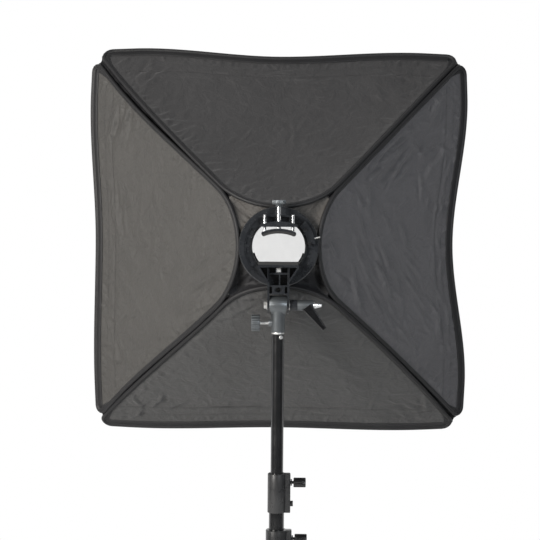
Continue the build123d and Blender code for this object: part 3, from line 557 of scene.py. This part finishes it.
CLOTH_FRAMES = 40
CLOTH_STIFFNESS = 12.0
LINING_DROP = 0.0034  # from the outer cloth down to the lining
CLOTH_GAP = 0.0008  # at least between a crease's bottom and the lining
SEAM_IN = 0.061  # from the hoop wire to the seam that holds the hook-and-loop strip
STRIP_IN = 0.050  # from the hoop wire to the strip's middle
STRIP_WIDTH = 0.022
STRIP_DROP = 0.0050  # from the outer cloth down to the strip
STRIP_THICKNESS = 0.0015
# how much larger than its hoop each panel is cut
OVERSIZE = {"top": 0.006, "right": 0.014, "bottom": 0.009, "left": 0.009}

# Creases pressed into the folded cloth, in groups on each panel: how many, the middle and the spread
# of their places (u, t), their direction from the u axis and its spread in degrees, length, height.
CREASES = {
    "top": [
        (26, (0.0, 0.375), (0.28, 0.03), 0, 9, 0.10, 0.0013),
        (12, (-0.30, 0.365), (0.04, 0.03), 50, 25, 0.04, 0.0021),
        (14, (0.28, 0.34), (0.05, 0.04), -40, 25, 0.05, 0.0019),
        (26, (0.0, 0.20), (0.12, 0.10), 20, 50, 0.08, 0.0009),
    ],
    "right": [
        (34, (0.02, 0.14), (0.09, 0.06), 33, 10, 0.09, 0.0028),
        (10, (-0.16, 0.18), (0.03, 0.05), 126, 8, 0.12, 0.0046),
        (28, (-0.20, 0.31), (0.08, 0.06), 112, 28, 0.06, 0.0026),
        (36, (0.03, 0.385), (0.22, 0.02), 0, 10, 0.045, 0.0023),
        (26, (0.20, 0.27), (0.07, 0.06), 40, 18, 0.08, 0.0023),
    ],
    "bottom": [
        (12, (0.0, 0.06), (0.06, 0.03), 5, 12, 0.10, 0.0026),
        (13, (-0.29, 0.36), (0.05, 0.03), -42, 22, 0.05, 0.0028),
        (13, (0.29, 0.36), (0.05, 0.03), 42, 22, 0.05, 0.0028),
        (18, (0.0, 0.385), (0.25, 0.02), 0, 8, 0.08, 0.0018),
        (22, (0.0, 0.20), (0.12, 0.08), -15, 40, 0.08, 0.0012),
    ],
    "left": [
        (24, (0.0, 0.375), (0.24, 0.025), 0, 12, 0.07, 0.0019),
        (4, (0.27, 0.34), (0.02, 0.02), 158, 7, 0.10, 0.0042),
        (18, (-0.10, 0.09), (0.03, 0.04), 126, 10, 0.07, 0.0023),
        (18, (-0.25, 0.34), (0.05, 0.04), 60, 35, 0.05, 0.0019),
        (22, (0.05, 0.22), (0.10, 0.08), 10, 35, 0.08, 0.0009),
    ],
}
CREASE_WIDTH = 0.0042
PUCKERS = 150  # short creases that run in from the binding


def crease(u, t, place, angle, length, width, height, bend):
    """Height of one crease: a ridge with a hollow beside it, which fades towards its ends."""
    c, s = math.cos(angle), math.sin(angle)
    along = (u - place[0]) * c + (t - place[1]) * s
    across = (t - place[1]) * c - (u - place[0]) * s - bend * along**2
    fade = np.clip(1 - (2 * along / length) ** 2, 0, 1) ** 1.5
    hollow = 0.6 * np.exp(-(((across - 1.7 * width) / (1.3 * width)) ** 2))
    return height * fade * (np.exp(-((across / width) ** 2)) - hollow)


def crease_height(side, u, t, seed):
    """The creases and puckers of one panel at its flat points (u, t)."""
    rng = np.random.default_rng(seed)
    height = np.zeros_like(u)
    for count, place, spread, angle, turn, length, rise in CREASES[side]:
        for _ in range(count):
            at = rng.normal(place, spread)
            height += crease(u, t, at, math.radians(rng.normal(angle, turn)), length * rng.uniform(0.6, 1.5),
                             CREASE_WIDTH * rng.uniform(0.75, 1.5), rise * rng.uniform(0.5, 1.2),
                             rng.normal(0, 1.5))
    outline = hoop_outline(FINE_OUTLINE_POINTS)
    middle = np.array([0, SLANT * 0.62])
    for index in rng.integers(0, len(outline), PUCKERS):
        ahead = outline[(index + 3) % len(outline)] - outline[index - 3]
        sideways = np.array([-ahead[1], ahead[0]])
        facing = 1 if (middle - outline[index]) @ sideways > 0 else -1
        inward = math.atan2(facing * ahead[0], -facing * ahead[1])
        reach = rng.uniform(0.008, 0.026)
        at = outline[index] + reach * np.array([math.cos(inward), math.sin(inward)])
        height += crease(u, t, at, inward + rng.normal(0, 0.35), rng.uniform(0.02, 0.05),
                         CREASE_WIDTH * rng.uniform(0.7, 1.1), rng.uniform(0.0007, 0.0018), 0)
    return height - 0.0016 * np.exp(-(((t - (SLANT - SEAM_IN)) / 0.0022) ** 2))


def flat_at_tape(side, cut, lift):
    """The cloth's lift, with no bulge left where the hook-and-loop strip is sewn to it."""
    plane = stand(side, cut[:, 0], cut[:, 1])[2]
    strip_low = SLANT - STRIP_IN - STRIP_WIDTH / 2
    return plane + (lift - plane) * (1 - smooth((cut[:, 1] - (strip_low - 0.014)) / 0.012))


def pressed_flat(side, cut, lift):
    """The cloth's lift, held down to the standing hoop's own surface where the binding covers it."""
    outline = hoop_outline(FINE_OUTLINE_POINTS)
    tree = kdtree.KDTree(len(outline))
    for index, point in enumerate(outline):
        tree.insert((*point, 0), index)
    tree.balance()
    gap = np.array([tree.find((a, b, 0))[2] for a, b in cut])
    plane = stand(side, cut[:, 0], cut[:, 1])[2]
    return plane + (lift - plane) * smooth((gap - band_width(cut)) / 0.010)


def drape(points, rest, faces, pins):
    """Cloth whose flat cut is rest, held where pins is 1, after it has settled."""
    sheet = new_object("draping", points, faces)
    group = sheet.vertex_groups.new(name="pins")
    for index, weight in enumerate(pins):
        if weight > 0:
            group.add([index], float(weight), "REPLACE")
    sheet.shape_key_add(name="held")
    flat = sheet.shape_key_add(name="flat")
    flat.data.foreach_set("co", np.asarray(rest, np.float32).ravel())
    flat.value = 0.0
    modifier = sheet.modifiers.new("cloth", "CLOTH")
    settings = modifier.settings
    settings.quality = 8
    settings.mass = 0.12
    settings.tension_stiffness = CLOTH_STIFFNESS
    settings.compression_stiffness = CLOTH_STIFFNESS
    settings.shear_stiffness = CLOTH_STIFFNESS * 0.5
    settings.bending_stiffness = 0.6
    settings.air_damping = 4.0
    settings.vertex_group_mass = "pins"
    settings.pin_stiffness = 5.0
    settings.rest_shape_key = flat
    settings.effector_weights.gravity = 0.25
    modifier.collision_settings.use_collision = False
    modifier.point_cache.frame_start = 1
    modifier.point_cache.frame_end = CLOTH_FRAMES
    scene = bpy.context.scene
    for number in range(1, CLOTH_FRAMES + 1):
        scene.frame_set(number)
    settled, _ = take_result(sheet)
    scene.frame_set(1)
    return settled


def to_panel(side, points):
    """Points in the row frame to (u, t, lift)."""
    origin, across, up, normal = panel_axes(side)
    return np.stack([(points - origin) @ axis for axis in (across, up, normal)], axis=1)


def ripple(u, t, seed):
    """A little smooth unevenness, so that the cloth doesn't settle perfectly flat."""
    rng = np.random.default_rng(seed)
    height = np.zeros_like(u)
    waves = 26
    for _ in range(waves):
        angle = rng.uniform(0, math.pi)
        length = rng.uniform(0.035, 0.16)
        height += np.sin((u * math.cos(angle) + t * math.sin(angle)) * 2 * math.pi / length
                         + rng.uniform(0, 2 * math.pi)) * length
    return height / waves


def make_panel_cloth(side, seed):
    """The settled cloth of one panel: points (u, t, lift), faces and the flat (u, t) cut."""
    cut, faces, rim = flat_cut()
    u, t, lift = stand(side, cut[:, 0], cut[:, 1])
    held = np.arange(len(cut)) < rim
    lift = lift + np.where(held, 0, ripple(cut[:, 0], cut[:, 1], seed) * 0.08)
    centre = np.array([0, SLANT * 0.6])
    flat = centre + (cut - centre) * (1 + OVERSIZE[side])
    rest = np.column_stack([flat, np.zeros(len(flat))])
    seam = smooth((t - (SLANT - SEAM_IN - 0.004)) / 0.004)
    pins = np.where(held, 1.0, seam * 0.55)
    settled = to_panel(side, drape(to_frame(side, u, t, lift), rest, faces, pins))
    return settled, faces, cut


def make_panels():
    """The four panels of black cloth, each with its silver lining."""
    for seed, side in enumerate(TURNS, 11):
        settled, faces, cut = make_panel_cloth(side, seed)
        settled[:, 2] = flat_at_tape(side, cut, settled[:, 2])
        points, fine_faces = smooth_mesh(settled, faces)
        flat, _ = smooth_mesh(np.column_stack([cut, np.zeros(len(cut))]), faces)
        uv = flat[:, :2]
        relief = np.maximum(crease_height(side, uv[:, 0], uv[:, 1], seed + 60), CLOTH_GAP - LINING_DROP)
        points[:, 2] = pressed_flat(side, uv, points[:, 2] + relief)
        outer = new_piece(f"cloth_{side}", to_frame(side, *points.T), fine_faces, cloth[side],
                          uv)
        add_thickness(outer, CLOTH_THICKNESS)
        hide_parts(f"panel_{side}")
        settled[:, 2] = pressed_flat(side, cut, settled[:, 2]) - LINING_DROP
        inner = new_piece(f"lining_{side}", to_frame(side, *settled.T), faces, silver, cut)
        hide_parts("reflective_lining")


make_panels()

# ---------------------------------------------------------------- bindings
TUBE_R = 0.0042  # the tunnel round the wire
BAND_RISE = 0.0016  # the flat band's surface above the cloth


def hoop_line(side, count):
    """The standing hoop's line in the row frame, its inward directions and its flat points."""
    cut = hoop_outline(count)
    u, t, lift = stand(side, cut[:, 0], cut[:, 1])
    line = to_frame(side, u, t, lift)
    normal = panel_axes(side)[3]
    ahead = np.roll(line, -1, axis=0) - np.roll(line, 1, axis=0)
    ahead /= np.linalg.norm(ahead, axis=1)[:, None]
    inward = np.cross(normal, ahead)
    return line, inward, cut


def sweep_closed(line, sections):
    """Points and faces of a tube: sections[i][j] are offsets of ring i in the row frame."""
    count, around = sections.shape[:2]
    points = (line[:, None, :] + sections).reshape(-1, 3)
    faces = []
    for i in range(count):
        k = (i + 1) % count
        for j in range(around):
            m = (j + 1) % around
            faces.append((i * around + j, k * around + j, k * around + m, i * around + m))
    return points, faces


def binding_profile(width):
    """The binding's closed section as (inward, height) pairs: a round tunnel and a thin flat band."""
    arc = [(-TUBE_R * math.cos(a), TUBE_R * math.sin(a)) for a in np.linspace(0, math.radians(140), 8)]
    band = [(0.0048, 0.0012), (0.0058, BAND_RISE + 0.0002), (width - 0.0008, BAND_RISE), (width, 0.0009)]
    upper = arc + band
    lower = [(inward, -height) for inward, height in reversed(upper[1:])]
    return np.array(upper + lower)


def make_binding(side):
    """The sewn tape round a hoop's wire."""
    line, inward, cut = hoop_line(side, OUTLINE_POINTS)
    normal = panel_axes(side)[3]
    profiles = np.array([binding_profile(width) for width in band_width(cut)])
    sections = profiles[:, :, :1] * inward[:, None, :] + profiles[:, :, 1:] * normal
    points, faces = sweep_closed(line, sections)
    along = np.linspace(0, hoop_length(), len(line))
    uv = np.stack([np.repeat(along, profiles.shape[1]), profiles[:, :, 0].ravel()], axis=1)
    piece = new_piece(f"binding_{side}", points, faces, binding_tape, uv)
    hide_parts(f"spring_hoop_{side}")


def add_threads(points, faces, places, ahead, up):
    """Adds a row of short threads to points and faces, each lying along ahead at its place."""
    length, half = 0.0030, 0.00032
    lateral = np.cross(up, ahead)
    for place, direction, sideways in zip(places, ahead, lateral):
        base = len(points)
        for along, swell in ((-0.5, 0.35), (-0.3, 1.0), (0.3, 1.0), (0.5, 0.35)):
            sink = 0.0 if abs(along) < 0.4 else -half
            for x, y in ((-1, 0), (0, 1), (1, 0)):
                points.append(place + direction * along * length + sideways * x * half * swell
                              + up * (y * half * swell + sink))
        for ring in range(3):
            for j in range(2):
                a = base + ring * 3 + j
                faces.append((a, a + 3, a + 4, a + 1))


def make_stitches(side):
    """Two seams on the binding and the two seams of the hook-and-loop strip."""
    normal = panel_axes(side)[3]
    points, faces = [], []
    line, inward, cut = hoop_line(side, int(hoop_length() / STITCH_PITCH))
    ahead = np.cross(inward, normal)
    rows = ((np.full(len(cut), 0.0050), 0.0015), (band_width(cut) - 0.0016, BAND_RISE + 0.0001))
    for inset, height in rows:
        add_threads(points, faces, line + inward * inset[:, None] + normal * height, ahead, normal)
    for inset in (SEAM_IN - STRIP_WIDTH, SEAM_IN):
        half = half_across(SLANT - inset, 0.026)
        flat_u = np.arange(-half, half, STITCH_PITCH)
        u, t, lift = stand(side, flat_u, np.full(len(flat_u), SLANT - inset))
        places = to_frame(side, u, t, lift + 0.0007)
        ahead = np.gradient(places, axis=0)
        ahead /= np.linalg.norm(ahead, axis=1)[:, None]
        add_threads(points, faces, places, ahead, normal)
    new_piece(f"stitches_{side}", points, faces, thread, np.array(points)[:, [0, 2]])


for side in TURNS:
    make_binding(side)
    make_stitches(side)


# ---------------------------------------------------------------- hook-and-loop strips
def make_strip(side):
    """The hook-and-loop strip inside a panel's outer edge."""
    half = half_across(SLANT - STRIP_IN, 0.034)
    across = np.linspace(-half, half, 90)
    points, uv = [], []
    for t in np.linspace(SLANT - STRIP_IN - STRIP_WIDTH / 2, SLANT - STRIP_IN + STRIP_WIDTH / 2, 5):
        u_row, t_row, lift = stand(side, across, np.full(len(across), t))
        points.append(to_frame(side, u_row, t_row, lift - STRIP_DROP))
        uv.append(np.column_stack([across, np.full(len(across), t)]))
    strip = new_piece(f"loop_strip_{side}", np.vstack(points), grid_faces(5, len(across)), hook_loop,
                      np.vstack(uv))
    add_thickness(strip, STRIP_THICKNESS)
    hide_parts("hook_and_loop_tape")


for side in TURNS:
    make_strip(side)

# ---------------------------------------------------------------- gussets along the ridges
SIDES = list(TURNS)
RIDGE_START = 0.030  # up the slant, where the rear cloth hands over to a ridge strip
RIDGE_END = SLANT - 0.014
RIDGE_DIP = 0.013


def side_line(side, hand, t):
    """Points on a panel's straight side at the heights t up the slant, hand being +1 or -1."""
    u_moved, t_moved, lift = stand(side, hand * half_across(t), t)
    return to_frame(side, u_moved, t_moved, lift)


def make_gusset(first, second, seed):
    """The dark strip between first's +u side and second's -u side, folded into the box."""
    rng = np.random.default_rng(seed)
    t = np.linspace(RIDGE_START, RIDGE_END, 110)
    one, other = side_line(first, 1, t), side_line(second, -1, t)
    inward = -(panel_axes(first)[3] + panel_axes(second)[3])
    inward /= np.linalg.norm(inward)
    along = (t - RIDGE_START) / (RIDGE_END - RIDGE_START)
    depth = RIDGE_DIP * (0.35 + 0.65 * np.sin(math.pi * np.clip(along * 1.15, 0, 1)) ** 0.6)
    for length in (0.055, 0.031, 0.017):
        depth += np.sin(t * 2 * math.pi / length + rng.uniform(0, 6.28)) * length * 0.022
    points, uv = [], []
    rows = 11
    for share in np.linspace(0, 1, rows):
        row = one + (other - one) * share + inward * (depth * math.sin(math.pi * share) ** 0.8)[:, None]
        points.append(row)
        uv.append(np.column_stack([t, np.full(len(t), share * 0.03)]))
    points = np.array(points)
    length = np.linalg.norm(np.diff(points, axis=1), axis=2).sum(1).mean()
    piece = new_piece(f"gusset_{first}_{second}", points.reshape(-1, 3), grid_faces(rows, len(t)),
                      gusset_cloth, np.vstack(uv))
    add_thickness(piece, CLOTH_THICKNESS)
    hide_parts("corner_gussets")


for number, first in enumerate(SIDES):
    make_gusset(first, SIDES[(number + 1) % 4], 30 + number)

# ---------------------------------------------------------------- rear centre cloth and its elastic rim
rim_low, rim_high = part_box("elastic_rim")
RIM_MINOR = (rim_high.y - rim_low.y) / 2
RIM_R = (rim_high.x - rim_low.x) / 2 - RIM_MINOR
RIM_Y = (rim_high.y + rim_low.y) / 2
REAR_POINTS = 360


def rear_outline():
    """The rear cloth's outer edge: along each hoop's arc, and across the start of each ridge."""
    points = []
    for side in SIDES:
        cut = hoop_outline(FINE_OUTLINE_POINTS)
        arc = cut[cut[:, 1] < RIDGE_START + 0.004]
        arc = arc[np.argsort(arc[:, 0])]
        u, t, lift = stand(side, arc[:, 0], arc[:, 1])
        points.append(to_frame(side, u, t, lift - 0.0012))
    return resample(np.vstack(points), REAR_POINTS)


def make_rear_cloth():
    """The cloth between the hoops' arcs and the mount ring, gathered at the ring."""
    rng = np.random.default_rng(7)
    outer = rear_outline()
    centre = np.array([RING.x, 0, RING.z])
    spoke = outer - centre
    angle = np.arctan2(spoke[:, 2], spoke[:, 0])
    inner = np.column_stack([RING.x + RIM_R * np.cos(angle), np.full(len(angle), RIM_Y),
                             RING.z + RIM_R * np.sin(angle)])
    gather = np.zeros(len(angle))
    for count in (23, 31, 44):
        gather += np.sin(count * angle + rng.uniform(0, 6.28)) / 3
    reach = np.linalg.norm(outer - inner, axis=1)
    low_corner = np.clip(-np.sin(angle), 0, 1) * np.abs(np.sin(2 * angle))
    points, uv = [], []
    rows = 22
    for share in np.linspace(0, 1, rows):
        row = inner + (outer - inner) * share
        folds = gather * 0.0030 * (1 - share) ** 1.2 * (share > 0)
        row[:, 1] += folds + (0.06 * reach + 0.016 * low_corner) * math.sin(math.pi * share)
        points.append(row)
        uv.append(row[:, [0, 2]])
    points, uv = np.array(points), np.array(uv)
    cloth_piece = new_piece("rear_cloth", points.reshape(-1, 3), grid_faces(rows, len(angle), True),
                            rear_cloth, uv.reshape(-1, 2))
    add_thickness(cloth_piece, CLOTH_THICKNESS)
    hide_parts("rear_centre_panel")


def make_rim():
    """The gathered hem with the elastic in it that grips the mount ring."""
    rng = np.random.default_rng(8)
    turns = np.linspace(0, 2 * math.pi, 480, endpoint=False)
    pucker = sum(np.sin(count * turns + rng.uniform(0, 6.28)) for count in (29, 47, 61)) / 3
    points, uv = [], []
    for step in np.linspace(0, 2 * math.pi, 14, endpoint=False):
        minor = RIM_MINOR * (1 + 0.22 * pucker * (0.5 - 0.5 * math.cos(step)))
        radius = RIM_R + minor * math.cos(step)
        depth = RIM_Y + minor * math.sin(step)
        points.append(np.column_stack([RING.x + radius * np.cos(turns), depth,
                                       RING.z + radius * np.sin(turns)]))
        uv.append(np.column_stack([turns * RIM_R, np.full(len(turns), step * RIM_MINOR)]))
    points.append(points[0])
    uv.append(uv[0])
    piece = new_piece("elastic_hem", np.vstack(points), grid_faces(len(points), len(turns), True), elastic,
                      np.vstack(uv))
    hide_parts("elastic_rim")


make_rear_cloth()
make_rim()

# ---------------------------------------------------------------- front diffuser
DIFFUSER_T = (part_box("front_diffuser")[0].y - REAR_Y) / math.sin(SLOPE)  # how far up the slant it is held
DIFFUSER_DROP = 0.0075  # from the outer cloth down to the diffuser's edge
DIFFUSER_BULGE = 0.010
DIFFUSER_THICKNESS = 0.0005
HEM_WIDTH = 0.022
HEM_REACH = 0.37  # from the diffuser's middle to its edge, about
HEM_THICKNESS = 0.0010


def diffuser_edge(count):
    """The line inside the four panels along which the diffuser is held."""
    points = []
    for side in SIDES:
        half = half_across(DIFFUSER_T, 0.020)
        across = np.linspace(-half, half, 120)
        u, t, lift = stand(side, across, np.full(len(across), DIFFUSER_T))
        points.append(to_frame(side, u, t, lift - DIFFUSER_DROP))
    return resample(np.vstack(points), count)


def make_diffuser():
    """The white cloth across the front, and the hem round it."""
    rng = np.random.default_rng(9)
    edge = diffuser_edge(480)
    centre = edge.mean(0)
    turns = rng.uniform(0, 2 * math.pi, 3)
    # a square grid whose rings all have the shape of the edge
    steps = np.linspace(-1, 1, 121)
    across, up = (grid.ravel() for grid in np.meshgrid(steps, steps))
    share = np.maximum(np.abs(across), np.abs(up))
    reach = np.maximum(share, 1e-9)
    nearest = [up >= reach, across >= reach, -up >= reach]
    on_side = np.select(nearest, [across, -up, -across], up) / reach
    side = np.select(nearest, [0.0, 1.0, 2.0], 3.0)
    place = (side + (on_side + 1) / 2) / 4 * len(edge)
    before = np.floor(place).astype(int)
    part = (place - before)[:, None]
    line = edge[before % len(edge)] * (1 - part) + edge[(before + 1) % len(edge)] * part
    points = centre + (line - centre) * share[:, None]
    angle = place / len(edge) * 2 * math.pi
    pucker = sum(np.sin(count * angle + turn) for count, turn in zip((52, 77, 101), turns)) / 3
    pucker = 0.0016 * pucker * smooth((share - 0.72) / 0.28) * (share < 1)
    points[:, 1] += DIFFUSER_BULGE * (1 - share**2) + pucker
    faces = grid_faces(len(steps), len(steps))
    sheet = new_piece("diffuser_cloth", points, faces, white_cloth, points[:, [0, 2]])
    add_thickness(sheet, DIFFUSER_THICKNESS)
    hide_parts("front_diffuser")
    inner = centre + (edge - centre) * (1 - HEM_WIDTH / HEM_REACH)
    shares = np.linspace(0, 1, 5)
    band = np.array([edge + (inner - edge) * share for share in shares])
    band[:, :, 1] += 0.0014 + DIFFUSER_BULGE * 0.1 * shares[:, None]
    band = band.reshape(-1, 3)
    hem = new_piece("diffuser_hem", band, grid_faces(len(shares), len(edge), True), white_cloth,
                    band[:, [0, 2]])
    add_thickness(hem, HEM_THICKNESS)
    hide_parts("front_diffuser")


make_diffuser()
